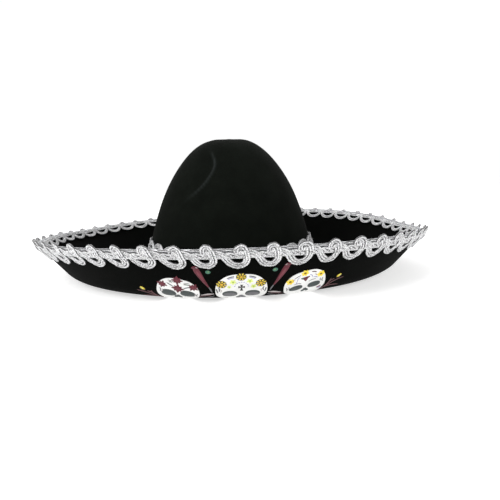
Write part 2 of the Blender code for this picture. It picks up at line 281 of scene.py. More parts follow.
def cord(line, outward, closed=True, radius=CORD_RADIUS, ring=CORD_RING, sides=CORD_SIDES):
    """A twisted cord along a line of points. outward gives the direction off the felt at each one."""
    both, run = resampled(np.concatenate([line, outward], axis=1), ring, closed)
    centre, out = both[:, :3], both[:, 3:]
    ahead = np.roll(centre, -1, axis=0) - np.roll(centre, 1, axis=0)
    if not closed:
        ahead[0], ahead[-1] = centre[1] - centre[0], centre[-1] - centre[-2]
    ahead = unit(ahead)
    out = unit(out - np.sum(out * ahead, axis=1)[:, None] * ahead)
    side = np.cross(ahead, out)
    turn = np.linspace(math.pi, 3 * math.pi, sides, endpoint=False)
    total = run[-1] + ring
    twists = max(round(total / CORD_TWIST), 1)
    phase = 2 * math.pi * twists * run / total
    size = radius * (1 + CORD_LOBE * np.cos(2 * turn[None, :] - phase[:, None]))
    if not closed:
        size[[0, -1]] *= CORD_END
    points = centre[:, None, :] + size[..., None] * (
        np.cos(turn)[None, :, None] * out[:, None] + np.sin(turn)[None, :, None] * side[:, None]
    )
    start = CORD_PATTERN_SHIFT * np.abs(centre[0]).sum()
    uv = (start + run[:, None] / MM, (turn[None, :] - math.pi) * radius / MM)
    uv = np.stack(np.broadcast_arrays(*uv), axis=-1)
    return points, grid_faces(len(centre), sides, closed, True), uv


def smoothed(laid, samples):
    """A smooth line through the laid points but the two end ones, stopping just short of its last."""
    share = np.linspace(0, 1, samples, endpoint=False)[None, :, None]
    count = len(laid) - 3
    p0, p1, p2, p3 = (laid[start : start + count, None, :] for start in range(4))
    line = 0.5 * (
        2 * p1
        + (p2 - p0) * share
        + (2 * p0 - 5 * p1 + 4 * p2 - p3) * share**2
        + (3 * p1 - p0 - 3 * p2 + p3) * share**3
    )
    return line.reshape(-1, laid.shape[1])


def add_cords(name, parts, material, replaces=()):
    """A piece made of several silver cords."""
    points, quads, uv = joined(parts)
    add_piece(name, points, quads, material, replaces, uv)


def spline(controls, advance, repeats, samples=SPLINE_SAMPLES):
    """A smooth line through control points that repeat, each repeat moved on along by advance."""
    controls = np.array(controls, dtype=float)
    count = len(controls)
    index = np.arange(-1, count + 2)
    laid = controls[index % count].copy()
    laid[:, 0] += advance * (index // count)
    one = smoothed(laid, samples)
    lines = np.tile(one, (repeats, 1))
    lines[:, 0] += np.repeat(np.arange(repeats) * advance, len(one))
    return lines


def beside(line, offset):
    """The line of (along, down, out) points moved sideways by offset."""
    moved = line.copy()
    moved[:, :2] += offset * square_to(line[:, :2])
    return moved


def on_rim(line):
    """World points and directions off the felt of a line given along, down and out on the rim."""
    points = rim_place(*line.T)
    off = np.where(line[:, 2] < -FELT / MM, -1, 1)
    raised = rim_place(line[:, 0], line[:, 1], line[:, 2] + off)
    return points, (raised - points) / MM


# ---- materials ----


FELT_BLACK = (0.0040, 0.0050, 0.0038)
# Paler felt, for real wear where the brim rests and for a painted highlight along the crown's crease
FELT_WEAR_AND_HIGHLIGHT = (0.017, 0.020, 0.019)
THREAD_BLACK = (0.05, 0.05, 0.05)

# The gimp's colours, the backing's being the silver darkened as painted shade, how far apart its windings
# are in millimetres, and how much they slant
GIMP_SILVER = (0.96, 0.96, 0.97)
GIMP_BACKING_SHADED = (0.45, 0.46, 0.48)
GIMP_WINDING = 0.42
GIMP_SKEW = 0.35

# Marks on the gimp as (low, high, share at low, share at high) of what makes them: painted shade in the
# grooves between windings, flecks and sparks painted as dark reflections, random wear, and painted shade on
# the cords' flanks
GIMP_GROOVE_SHADE = (-1.0, -0.2)
GIMP_REFLECTION_FLECKS = (0.54, 0.62, 0, 0.85)
GIMP_REFLECTION_SPARKS = (0.56, 0.68, 0, 0.4)
GIMP_WEAR = (0.45, 0.75, 0, 0.2)
GIMP_FLANK_SHADE = (0.25, 0.78, 0.95, 0)

# The tape's ribs and weft are this far apart, in millimetres
TAPE_RIB = 0.9
TAPE_WEFT = 0.45

FLOOR_GLOW = 0.84

# The sky as (sine of a low elevation, sine of a high one, strength at each)
SKY = (0.45, 0.85, 1.02, 0.25)


def tinted(colour, share):
    return tuple(min(channel * share, 1) for channel in colour)


RANGE_ENDS = ("From Min", "From Max", "To Min", "To Max")


class Nodes:
    """A material being built on its Principled shader."""

    def __init__(self, name, colour, roughness, metallic=0.0, specular=0.5):
        self.material = bpy.data.materials.new(name)
        self.material.use_nodes = True
        self.tree = self.material.node_tree
        self.shader = self.tree.nodes["Principled BSDF"]
        self.shader.inputs["Base Color"].default_value = (*colour, 1)
        self.shader.inputs["Roughness"].default_value = roughness
        self.shader.inputs["Metallic"].default_value = metallic
        self.shader.inputs["Specular IOR Level"].default_value = specular
        self.material.diffuse_color = (*colour, 1)
        self.tone = colour

    def add(self, kind, **values):
        node = self.tree.nodes.new(kind)
        for key, value in values.items():
            if key in node.inputs:
                node.inputs[key].default_value = value
            else:
                setattr(node, key, value)
        return node

    def link(self, source, target):
        self.tree.links.new(source, target)

    def noise(self, scale, detail=3.0, roughness=0.55, coordinate="Object", stretch=None):
        """A noise's value over the object's own coordinates in metres, or over its UV in millimetres."""
        where = self.add("ShaderNodeTexCoord").outputs[coordinate]
        if stretch:
            mapping = self.add("ShaderNodeMapping")
            mapping.inputs["Scale"].default_value = stretch
            self.link(where, mapping.inputs["Vector"])
            where = mapping.outputs["Vector"]
        node = self.add("ShaderNodeTexNoise", Scale=scale, Detail=detail, Roughness=roughness)
        self.link(where, node.inputs["Vector"])
        return node.outputs["Fac"]

    def spread(self, value, low, high, start=0.0, end=1.0):
        """value between low and high turned into start to end."""
        node = self.add("ShaderNodeMapRange")
        self.link(value, node.inputs["Value"])
        for name, number in zip(RANGE_ENDS, (low, high, start, end)):
            node.inputs[name].default_value = number
        return node.outputs["Result"]

    def math(self, operation, first, second=0.0):
        node = self.add("ShaderNodeMath", operation=operation)
        for slot, value in enumerate((first, second)):
            if isinstance(value, (int, float)):
                node.inputs[slot].default_value = value
            else:
                self.link(value, node.inputs[slot])
        return node.outputs["Value"]

    def mix(self, share, first, second):
        """Two colours or sockets mixed by share."""
        node = self.add("ShaderNodeMix", data_type="RGBA")
        self.link(share, node.inputs["Factor"])
        for socket, value in ((node.inputs["A"], first), (node.inputs["B"], second)):
            colour_socket = [s for s in node.inputs if s.name == socket.name and s.type == "RGBA"][0]
            if isinstance(value, tuple):
                colour_socket.default_value = (*value, 1)
            else:
                self.link(value, colour_socket)
        return [s for s in node.outputs if s.type == "RGBA"][0]

    def lay_over(self, colour, value, low, high, start=0.0, end=1.0):
        """Lays a colour over the tone so far, by value spread from start to end, and shows it."""
        self.tone = self.mix(self.spread(value, low, high, start, end), self.tone, colour)
        self.link(self.tone, self.shader.inputs["Base Color"])

    def uv(self):
        """The two UV coordinates, in millimetres."""
        split = self.add("ShaderNodeSeparateXYZ")
        self.link(self.add("ShaderNodeTexCoord").outputs["UV"], split.inputs["Vector"])
        return split.outputs["X"], split.outputs["Y"]

    def roughness(self, socket):
        self.link(socket, self.shader.inputs["Roughness"])

    def bump(self, height, distance, strength=1.0):
        """A bump, in metres, on top of any bump already there."""
        node = self.add("ShaderNodeBump", Strength=strength, Distance=distance)
        self.link(height, node.inputs["Height"])
        normal = self.shader.inputs["Normal"]
        if normal.is_linked:
            self.link(normal.links[0].from_socket, node.inputs["Normal"])
        self.link(node.outputs["Normal"], normal)


def felt_material(name, share):
    """Black felt at a share of the dye's brightness, a share below one being painted shade: cloudy, with
    stray fibres and a nap, and paler where the mesh's wear-and-highlight attribute says, which is real wear
    on the brim and a painted highlight on the crown's crease.
    """
    dye = tinted(FELT_BLACK, share)
    made = Nodes(name, dye, 0.95, specular=0.03)
    made.shader.inputs["Sheen Weight"].default_value = 0.008
    made.shader.inputs["Sheen Roughness"].default_value = 0.5
    fibre = made.noise(2600, 4, 0.7)
    cloud = made.noise(55, 4, 0.6)
    strand = made.noise(900, 5, 0.75, stretch=(1, 0.35, 1.8))
    # Paler felt where the mesh's attribute says so: real wear on the brim, a painted highlight on the
    # crown's crease
    wear_and_highlight = made.add("ShaderNodeAttribute", attribute_name="wear_and_highlight").outputs["Fac"]
    made.tone = tinted(dye, 0.85)
    made.lay_over(tinted(dye, 1.2), cloud, 0.35, 0.65)
    made.lay_over(tinted(dye, 2.6), strand, 0.62, 0.74, 0, 0.5)
    made.lay_over(FELT_WEAR_AND_HIGHLIGHT, wear_and_highlight, 0, 1)
    made.bump(fibre, 0.12 * MM, 0.6)
    made.bump(strand, 0.3 * MM, 0.6)
    return made.material


def gimp_material(name, tint, paint_flank_shade=True):
    """Silver gimp: fine metal strip wound round the cord, with painted shade in the grooves between its
    windings and, if asked, on the cord's flanks where cords meet, and dark flecks painted as reflections.
    """
    made = Nodes(name, tint, 0.3, metallic=0.7)
    run, round_cord = made.uv()
    skewed = made.math("ADD", run, made.math("MULTIPLY", round_cord, GIMP_SKEW))
    wave = made.math("SINE", made.math("MULTIPLY", skewed, 2 * math.pi / GIMP_WINDING))
    wound = made.spread(wave, -1, 1)
    spark = made.noise(1500, 3, 0.7)
    fleck = made.noise(0.6, 3, 0.65, "UV", (0.6, 1, 1))
    wear = made.noise(160, 4, 0.6)
    made.tone = tinted(tint, 0.55)
    # Painted shade in the grooves between the windings
    made.lay_over(tint, wave, *GIMP_GROOVE_SHADE)
    # Painted dark reflections: flecks and sparks darken the silver where the crinkled metal would mirror
    # dark surroundings
    made.lay_over(tinted(tint, 0.08), fleck, *GIMP_REFLECTION_FLECKS)
    made.lay_over(tinted(tint, 0.3), spark, *GIMP_REFLECTION_SPARKS)
    made.lay_over(tinted(tint, 0.75), wear, *GIMP_WEAR)
    if paint_flank_shade:
        # Painted shade: the cord's flanks, where it meets its neighbours, are darkened
        facing = made.math("COSINE", made.math("DIVIDE", round_cord, CORD_RADIUS / MM))
        made.lay_over(tinted(tint, 0.03), made.math("ABSOLUTE", facing), *GIMP_FLANK_SHADE)
    made.roughness(made.spread(spark, 0.3, 0.7, 0.16, 0.45))
    made.bump(wound, 0.08 * MM, 0.7)
    made.bump(fleck, 0.25 * MM, 0.8)
    made.bump(spark, 0.15 * MM, 0.6)
    return made.material


def ink_material(name, colour):
    """Screen ink over felt: matt, slightly uneven, and thin in places."""
    made = Nodes("ink_" + name, colour, 0.55, specular=0.3)
    grain = made.noise(1500, 4, 0.7)
    patch = made.noise(120, 3, 0.5)
    thin = tuple(channel * 0.62 for channel in colour)
    pale = tuple(min(channel * 1.12 + 0.01, 1) for channel in colour)
    made.lay_over(pale, patch, 0.35, 0.65)
    made.lay_over(thin, grain, 0.6, 0.75, 0, 0.7)
    made.roughness(made.spread(patch, 0.3, 0.7, 0.45, 0.7))
    made.bump(grain, 0.05 * MM, 0.5)
    return made.material


def tape_material():
    """Black grosgrain tape with fine upright ribs."""
    made = Nodes("tape_grosgrain", (0.016, 0.016, 0.017), 0.7, specular=0.3)
    along, across = made.uv()
    ribs = made.math("SINE", made.math("MULTIPLY", along, 2 * math.pi / TAPE_RIB))
    weft = made.math("SINE", made.math("MULTIPLY", across, 2 * math.pi / TAPE_WEFT))
    cloth = made.spread(made.math("ADD", ribs, made.math("MULTIPLY", weft, 0.4)), -1.4, 1.4)
    rub = made.noise(220, 3, 0.6)
    made.tone = (0.009, 0.009, 0.010)
    made.lay_over((0.024, 0.024, 0.026), cloth, 0, 1)
    made.lay_over((0.045, 0.044, 0.043), rub, 0.55, 0.8, 0, 0.5)
    made.bump(cloth, 0.18 * MM, 0.8)
    return made.material


def wire_material():
    made = Nodes("wire_steel", (0.55, 0.55, 0.56), 0.35, metallic=1.0)
    drawn = made.noise(900, 3, 0.6, stretch=(0.2, 0.2, 3))
    made.tone = (0.42, 0.42, 0.43)
    made.lay_over((0.62, 0.62, 0.64), drawn, 0, 1)
    made.roughness(made.spread(drawn, 0.3, 0.7, 0.25, 0.5))
    made.bump(drawn, 0.03 * MM, 0.5)
    return made.material


def floor_material():
    """White paper that glows, so that the hat's shadow stays faint and the horizon stays white."""
    made = Nodes("floor_paper", (0.7, 0.7, 0.698), 0.75, specular=0.1)
    grain = made.noise(420, 3, 0.5)
    made.tone = (0.69, 0.69, 0.688)
    made.lay_over((0.71, 0.71, 0.708), grain, 0.3, 0.7)
    made.link(made.tone, made.shader.inputs["Emission Color"])
    made.shader.inputs["Emission Strength"].default_value = FLOOR_GLOW
    made.bump(grain, 0.05 * MM, 0.15)
    return made.material


# ---- felt ----


def ring_angles(count):
    return np.linspace(0, 2 * math.pi, count, endpoint=False)


def felt_ripple(angle, height):
    """The small unevenness of hand-blocked felt."""
    return MM * (
        0.22 * np.sin(3 * angle + 0.8 + 25 * height)
        + 0.14 * np.sin(7 * angle + 2.1 - 60 * height)
        + 0.08 * np.sin(13 * angle + 0.4 + 90 * height)
    )


# The ripple fades out within these distances of the crown's foot, its top and the brim's step
RIPPLE_FOOT = 15 * MM
RIPPLE_TOP = 25 * MM
RIPPLE_STEP = 20 * MM

# The brim's share of the ripple, and how worn its underside is where it rests
BRIM_RIPPLE = 0.35
REST_WEAR = 0.12
LIP_DROP = 0.2 * MM

# The crease on the crown's upper left, as (degrees round from the front, millimetres up)
CREASE = ((-42, 123), (-23.2, 116.6), (-14, 105), (-17.1, 92.8), (-25.2, 81.1), (-34.9, 72.5), (-44, 68))
CREASE_RIDGE = 1.0 * MM
CREASE_RIDGE_WIDTH = 1.9 * MM
CREASE_DENT = 1.5 * MM
CREASE_DENT_WIDTH = 9 * MM
CREASE_OUTER_DENT = 0.25 * CREASE_DENT

# Where along the crease it sets in and dies out, as (share, length of the fade)
CREASE_SETS_IN = (0.1, 0.25)
CREASE_DIES_OUT = (0.95, 0.35)


def crown_crease(points, profile):
    """The crease at each point of the crown's face: how far out it moves, and how much painted highlight its
    ridge gets.
    """
    line = spline([(degrees, up, 0) for degrees, up in CREASE], 0, 1)[: SPLINE_SAMPLES * (len(CREASE) - 1)]
    order = np.argsort(profile[:, 1])
    height = line[:, 1] * MM
    crease = place(np.radians(line[:, 0]), np.interp(height, profile[order, 1], profile[order, 0]), height)
    flat = points.reshape(-1, 3)
    gaps = np.linalg.norm(flat[:, None, :] - crease[None, :, :], axis=2)
    nearest = gaps.argmin(axis=1)
    gap = gaps[np.arange(len(flat)), nearest]
    ahead = np.gradient(crease, axis=0)[nearest]
    side = np.sign(np.sum(np.cross(ahead, flat - crease[nearest]) * flat * (1, 1, 0), axis=1))
    share = nearest / (len(line) - 1)
    fade = smoothstep((share - CREASE_SETS_IN[0]) / CREASE_SETS_IN[1])
    fade = fade * smoothstep((CREASE_DIES_OUT[0] - share) / CREASE_DIES_OUT[1])
    ridge = np.exp(-((gap / CREASE_RIDGE_WIDTH) ** 2))
    inside = smoothstep(gap / CREASE_RIDGE_WIDTH / 1.5) * np.exp(-((gap / CREASE_DENT_WIDTH) ** 2))
    dent = np.where(side < 0, CREASE_DENT, CREASE_OUTER_DENT) * inside
    shape = points.shape[:-1]
    # The second value is a painted highlight: paler felt along the crease's ridge, where it would catch the
    # light
    return ((CREASE_RIDGE * ridge - dent) * fade).reshape(shape), (ridge**2 * fade).reshape(shape)


def make_crown(material):
    """The crown's outer and inner faces, closed round the foot and over the top."""
    profile = crown_profile(CROWN_STEPS)
    inward = square_to(profile)
    inward[-1] = (0, -1)
    angles = ring_angles(CROWN_SPOKES)[:, None]
    outer = place(angles, profile[None, :, 0], profile[None, :, 1])
    normal = -place(angles, inward[None, :, 0] + 1e-6, inward[None, :, 1])
    normal[..., 2] = -inward[None, :, 1]
    normal = unit(normal)
    shift, wear_and_highlight = crown_crease(outer, profile)
    foot = smoothstep((profile[None, :, 1] - FELT) / RIPPLE_FOOT)
    top = smoothstep(profile[None, :, 0] / RIPPLE_TOP)
    shift = shift + felt_ripple(angles, profile[None, :, 1]) * foot * top
    inner_profile = profile + FELT * inward
    inner_profile[0, 1] = profile[0, 1]
    inner_profile[-1] = (0, HEIGHT - TOP_SINK - FELT)
    inner = place(angles, inner_profile[None, :, 0], inner_profile[None, :, 1])
    outer = outer + shift[..., None] * normal
    inner = inner + shift[..., None] * normal
    lip = 0.5 * (outer[:, 0] + inner[:, 0]) - (0, 0, LIP_DROP)
    shell = np.concatenate([inner[:, ::-1], lip[:, None], outer], axis=1)
    wear_and_highlight = np.concatenate([0 * wear_and_highlight, 0 * wear_and_highlight[:, :1], wear_and_highlight], axis=1)
    quads = grid_faces(len(angles), shell.shape[1], wrap_rows=True)
    add_piece("crown_felt", shell, quads, material, ("crown_shell",), wear_and_highlight=wear_and_highlight)


def brim_outline():
    """(radius, height) points round the brim's section, with a rounded lip at the opening and rim."""
    run = np.concatenate([
        np.linspace(WALL_LENGTH + TURN_LENGTH, WALL_LENGTH, 16),
        np.linspace(WALL_LENGTH, FELT_EDGE + FELT / 2, 16)[1:],
    ])
    lip = np.linspace(0, math.pi, 9)[1:-1]
    tip_down = FELT_EDGE + FELT / 2 * (1 - np.sin(lip))
    tip_out = -FELT / 2 + FELT / 2 * np.cos(lip)
    under = np.stack(brim_point(run, np.zeros(len(run))), axis=1)
    tip = np.stack(brim_point(tip_down, tip_out), axis=1)
    over = np.stack(brim_point(run[::-1], np.full(len(run), -FELT)), axis=1)
    opening = np.array([
        (OPENING_RADIUS + FELT * (0.5 - 0.5 * math.sin(turn)), FELT / 2 + FELT / 2 * math.cos(turn))
        for turn in np.linspace(0, math.pi, 7)
    ])
    flat_radii = np.linspace(REST_RADIUS, OPENING_RADIUS + FELT, 8)
    rise = np.linspace(STEP_RADIUS, REST_RADIUS, 6)
    lift = STEP_HEIGHT * smoothstep((rise - REST_RADIUS) / (STEP_RADIUS - REST_RADIUS))
    step = np.stack([rise, lift], axis=1)
    resting = np.stack([flat_radii, np.zeros(len(flat_radii))], axis=1)[1:-1]
    inwards = np.concatenate([step, resting])
    upper = inwards + (0, FELT)
    return np.concatenate([inwards[::-1], under, tip, over, upper, opening])


def make_brim(material):
    outline = brim_outline()
    angles = ring_angles(BRIM_SPOKES)[:, None]
    points = place(angles, outline[None, :, 0], outline[None, :, 1])
    loose = smoothstep((outline[:, 0] - STEP_RADIUS) / RIPPLE_STEP)
    points[..., 2] += BRIM_RIPPLE * felt_ripple(angles, outline[None, :, 0]) * loose[None, :]
    quads = grid_faces(len(angles), len(outline), True, True)
    rest = smoothstep((STEP_RADIUS - outline[:, 0]) / (4 * MM)) * (outline[:, 1] < 0.1 * MM)
    patches = 0.6 + 0.4 * np.sin(9 * angles + 1) * np.sin(4 * angles)
    wear_and_highlight = REST_WEAR * rest[None, :] * patches
    add_piece("brim_felt", points, quads, material, ("brim",), wear_and_highlight=wear_and_highlight)


# ---- braid ----


# The main ribbon's centre over one repeat, in millimetres along, down and out. It makes a scallop,
# climbs its right side, curls over the rim's top as a knob, and crosses to the next scallop.
RIBBON = (
    (-7.2, 8.5, 1.2),
    (-5.2, 11.6, 1.0),
    (-2.2, 13.9, 1.0),
    (1.2, 14.7, 1.0),
    (4.2, 13.7, 1.0),
    (5.9, 11.3, 1.1),
    (6.3, 8.6, 1.5),
    (6.0, 6.0, 2.0),
    (5.5, 3.5, 2.0),
    (4.9, 1.2, 1.3),
    (3.8, -0.5, 0.5),
    (2.2, -1.2, 0.0),
    (0.7, -0.4, -0.1),
    (0.0, 1.2, 0.2),
    (0.7, 3.0, 0.8),
    (3.4, 3.8, 1.0),
    (7.4, 2.6, 0.7),
    (10.9, 3.6, 0.9),
    (13.4, 5.9, 1.1),
)
RIBBON_CORDS = (("inner", -1), ("middle", 0), ("outer", 1))

# How much lower the knobs stand round the sides and back. It sets in as minus the cosine of the
# angle from the front passes BACK_START, and fades out down the cord over KNOB_EASE above KNOB_FOOT.
BACK_SINK = 2.2
BACK_START = -0.5
BACK_EASE = 0.6
KNOB_FOOT = 4
KNOB_EASE = 5

# How the ribbon's cords wander, as (axis, millimetres, waves round the rim, phase, phase for each cord)
RIBBON_WANDER = (
    (0, 0.3, 23, 0.7, 0),
    (0, 0.2, 101, 0, 1),
    (1, 0.3, 31, 2.0, 0),
    (1, 0.15, 131, 0, 2),
)
RIBBON_WAVE = 0.12
RIBBON_WAVE_TURN = 1.9

# Cords that run all round, as (down, out, wave height, waves in a repeat) in millimetres
RIM_LINES = (
    (3.2, 0.8, 0.35, 3),
    (2.2, -0.9, 0.3, 2),
    (7.0, 1.1, 0.2, 1),
    (5.4, -4.0, 0.3, 3),
    (7.2, -3.9, 0.3, 1),
)

# Two cords plaited on the strip, as (down, out, wave height, waves in a repeat), and how far each
# rises and falls where they cross
PLAIT = (5.0, 0.8, 1.3, 2.5)
PLAIT_LIFT = 0.42

# Millimetres between the points of the cords that run all round, and of the plait
LINE_STEP = 0.6
PLAIT_STEP = 0.5

# A button of wound cord in each knob: its middle, its turns, its widest radius, the share of that it
# starts from, and how far out it stands at its start and end
BUTTON_MIDDLE = (2.4, 1.9)
BUTTON_TURNS = 1.5
BUTTON_RADIUS = 1.1
BUTTON_START = 0.12
BUTTON_OUT = (1.5, 0.9)
BUTTON_POINTS = 34

# Cords of the inner scallops, as (half width, lowest point) in millimetres
INNER_SCALLOPS = ((10.3, 14.6), (8.4, 12.7))
INNER_OUT = -3.95
INNER_TOP = 5.4
INNER_BETWEEN = 4.7

# A scallop is an arc of this many points, a little squarer than an ellipse
SCALLOP_POINTS = 11
SCALLOP_POWER = 0.75
SCALLOP_SAMPLES = 5


def make_ribbon(material):
    centre = spline(RIBBON, REPEAT, SCALLOPS)
    for label, offset in RIBBON_CORDS:
        line = beside(centre, offset * CORD_SPACING)
        around = line[:, 0] * 2 * math.pi / (REPEAT * SCALLOPS)
        for axis, size, waves, phase, cord_phase in RIBBON_WANDER:
            line[:, axis] += size * np.sin(waves * around + phase + cord_phase * offset)
        behind = smoothstep((-np.cos(around) - BACK_START) / BACK_EASE)
        in_knob = smoothstep((KNOB_FOOT - line[:, 1]) / KNOB_EASE)
        line[:, 1] += BACK_SINK * behind * in_knob
        line[:, 2] += RIBBON_WAVE * np.sin(line[:, 0] * RIBBON_WAVE_TURN + offset)
        replaced = ("rim_braid_outer_loops", "rim_braid_crest") if label == "outer" else ()
        add_cords(f"rim_braid_scallop_cord_{label}", [cord(*on_rim(line))], material, replaced)


def make_rim_lines(material):
    along = np.arange(0, REPEAT * SCALLOPS, LINE_STEP)
    parts = []
    for down, out, wave, waves in RIM_LINES:
        sway = wave * np.sin(2 * math.pi * along * waves / REPEAT + down)
        parts.append(cord(*on_rim(np.stack([along, down + sway, np.full(len(along), out)], axis=1))))
    add_cords("rim_braid_line_cords", parts, material)


def make_plait(material):
    """Two cords that cross over and under each other along the strip."""
    along = np.arange(0, REPEAT * SCALLOPS, PLAIT_STEP)
    down, out, wave, waves = PLAIT
    turn = 2 * math.pi * along * waves / REPEAT
    parts = []
    for sign in (-1, 1):
        lift = PLAIT_LIFT * sign * np.cos(turn)
        line = np.stack([along, down + sign * wave * np.sin(turn), out + lift], axis=1)
        parts.append(cord(*on_rim(line)))
    add_cords("rim_braid_plait", parts, material)


def make_buttons(material):
    """A small flat coil of cord in the middle of each knob."""
    turn = np.linspace(0, 2 * math.pi * BUTTON_TURNS, BUTTON_POINTS)
    share = turn / turn[-1]
    reach = BUTTON_RADIUS * (BUTTON_START + (1 - BUTTON_START) * share)
    out = BUTTON_OUT[0] + (BUTTON_OUT[1] - BUTTON_OUT[0]) * share
    parts = []
    for index in range(SCALLOPS):
        across = index * REPEAT + BUTTON_MIDDLE[0] + reach * np.cos(turn + index)
        down = BUTTON_MIDDLE[1] + reach * np.sin(turn + index)
        parts.append(cord(*on_rim(np.stack([across, down, out], axis=1)), closed=False))
    add_cords("rim_braid_knob_coils", parts, material)


def scallop_line(advance, repeats, between, half, foot, farthest, out):
    """Repeated scallops that reach from foot to farthest, with a point (reach, out) between them."""
    controls = [(-advance / 2, *between)]
    for angle in np.linspace(-0.5, 0.5, SCALLOP_POINTS) * math.pi:
        reach = foot + (farthest - foot) * math.cos(angle) ** SCALLOP_POWER
        controls.append((half * math.sin(angle), reach, out))
    return spline(controls, advance, repeats, SCALLOP_SAMPLES)


def make_inner_scallops(material):
    parts = []
    between = (INNER_BETWEEN, INNER_OUT)
    for half, lowest in INNER_SCALLOPS:
        line = scallop_line(REPEAT, SCALLOPS, between, half, INNER_TOP, lowest, INNER_OUT)
        parts.append(cord(*on_rim(line)))
    add_cords("rim_braid_inner_scallops", parts, material, ("rim_braid_inner_loops",))


# The ribbed strip over the rim's edge: (down, out) in millimetres from the outside over to the inside
STRIP = (
    (6.3, 0.5),
    (4.8, 0.55),
    (3.6, 0.5),
    (2.95, 0.2),
    (2.7, -0.5),
    (2.65, -1.4),
    (2.7, -2.4),
    (3.1, -3.2),
    (4.1, -3.4),
    (6.1, -3.4),
)
STRIP_THICKNESS = 0.45
STRIP_RIBS = 15
STRIP_RIB_HEIGHT = 0.22
STRIP_RIB_POINTS = 4


def make_rim_strip(material):
    section = np.array(STRIP, dtype=float)
    off = -square_to(section)
    count = SCALLOPS * STRIP_RIBS * STRIP_RIB_POINTS
    along = np.arange(count) * REPEAT * SCALLOPS / count
    rib = STRIP_RIB_HEIGHT * np.cos(2 * math.pi * along * STRIP_RIBS / REPEAT)
    high = section[None] + rib[:, None, None] * off[None]
    low = np.broadcast_to((section - STRIP_THICKNESS * off)[None, ::-1], high.shape)
    loop = np.concatenate([high, low], axis=1)
    points = rim_place(along[:, None], loop[..., 0], loop[..., 1])
    quads = grid_faces(count, loop.shape[1], True, True)
    across = np.arange(loop.shape[1])[None, :]
    uv = np.stack(np.broadcast_arrays(along[:, None], across), axis=-1)
    replaced = ("rim_braid_outer_band",)
    add_piece("rim_braid_ribbed_strip", points, quads, material, replaced, uv)


def on_crown(line, profile):
    """World points and outward directions of a line given along, up from the hat band and out."""
    angle = line[:, 0] / HATBAND_REPEAT * 2 * math.pi / HATBAND_SCALLOPS
    height = HATBAND_MIDDLE + line[:, 1] * MM + HATBAND_SIDE_LIFT * np.sin(angle) ** 2
    radius = np.interp(height, profile[:, 1], profile[:, 0])
    points = place(angle, radius + line[:, 2] * MM, height)
    return points, place(angle, radius + (line[:, 2] + 1) * MM, height) - points


# The hat band's cords, in millimetres up or down from its middle and out from the crown: the lines
# that run round, and the scallops as (half width, farthest point)
HATBAND_LINES = (-4.0, -1.4, 1.4, 4.0)
HATBAND_LINE_OUT = 1.9
HATBAND_LINE_SWAY = 0.25
HATBAND_LOOPS = ((9.6, 10.6), (8.0, 9.1), (6.4, 7.6))
HATBAND_LOOP_FOOT = 3
HATBAND_LOOP_OUT = 1.2
HATBAND_BETWEEN = (2.2, 1.6)


def make_hatband(material):
    """The crown's braid: upright scallops above and below a band of cords."""
    profile = crown_wall()
    for label, sign in (("lower", -1), ("upper", 1)):
        parts = []
        between = (sign * HATBAND_BETWEEN[0], HATBAND_BETWEEN[1])
        for half, farthest in HATBAND_LOOPS:
            reach = (sign * HATBAND_LOOP_FOOT, sign * farthest, HATBAND_LOOP_OUT)
            line = scallop_line(HATBAND_REPEAT, HATBAND_SCALLOPS, between, half, *reach)
            parts.append(cord(*on_crown(line, profile)))
        add_cords(f"hatband_{label}_scallops", parts, material, (f"hatband_{label}_loops",))
    along = np.arange(0, HATBAND_REPEAT * HATBAND_SCALLOPS, LINE_STEP)
    parts = []
    for index, up in enumerate(HATBAND_LINES):
        sway = HATBAND_LINE_SWAY * np.sin(4 * math.pi * along / HATBAND_REPEAT + index)
        line = np.stack([along, up + sway, np.full(len(along), HATBAND_LINE_OUT)], axis=1)
        parts.append(cord(*on_crown(line, profile)))
    add_cords("hatband_line_cords", parts, material, ("hatband_band",))


# ---- sweatband ----


SWEATBAND_TOP = 29 * MM
SWEATBAND_BOTTOM = 3.5 * MM
SWEATBAND_THICKNESS = 1.0 * MM
SWEATBAND_CLEARANCE = 0.6 * MM
SWEATBAND_STEPS = 16

# The tape's overlapped end at the back, and its small unevenness
OVERLAP_HALF_ANGLE = 0.05
OVERLAP_RISE = 0.35 * MM
TAPE_RIPPLE = 0.12 * MM

# Stitches, in millimetres round the tape, and their thread
STITCH_LENGTH = 2.6
STITCH_GAP = 1.3
STITCH_INSET = 2.5 * MM
STITCH_POINTS = 5
STITCH_STAND_OFF = 0.15 * MM
STITCH_ARCH = 0.25 * MM
THREAD_RADIUS = 0.22 * MM
THREAD_RING = 0.6 * MM
THREAD_SIDES = 5


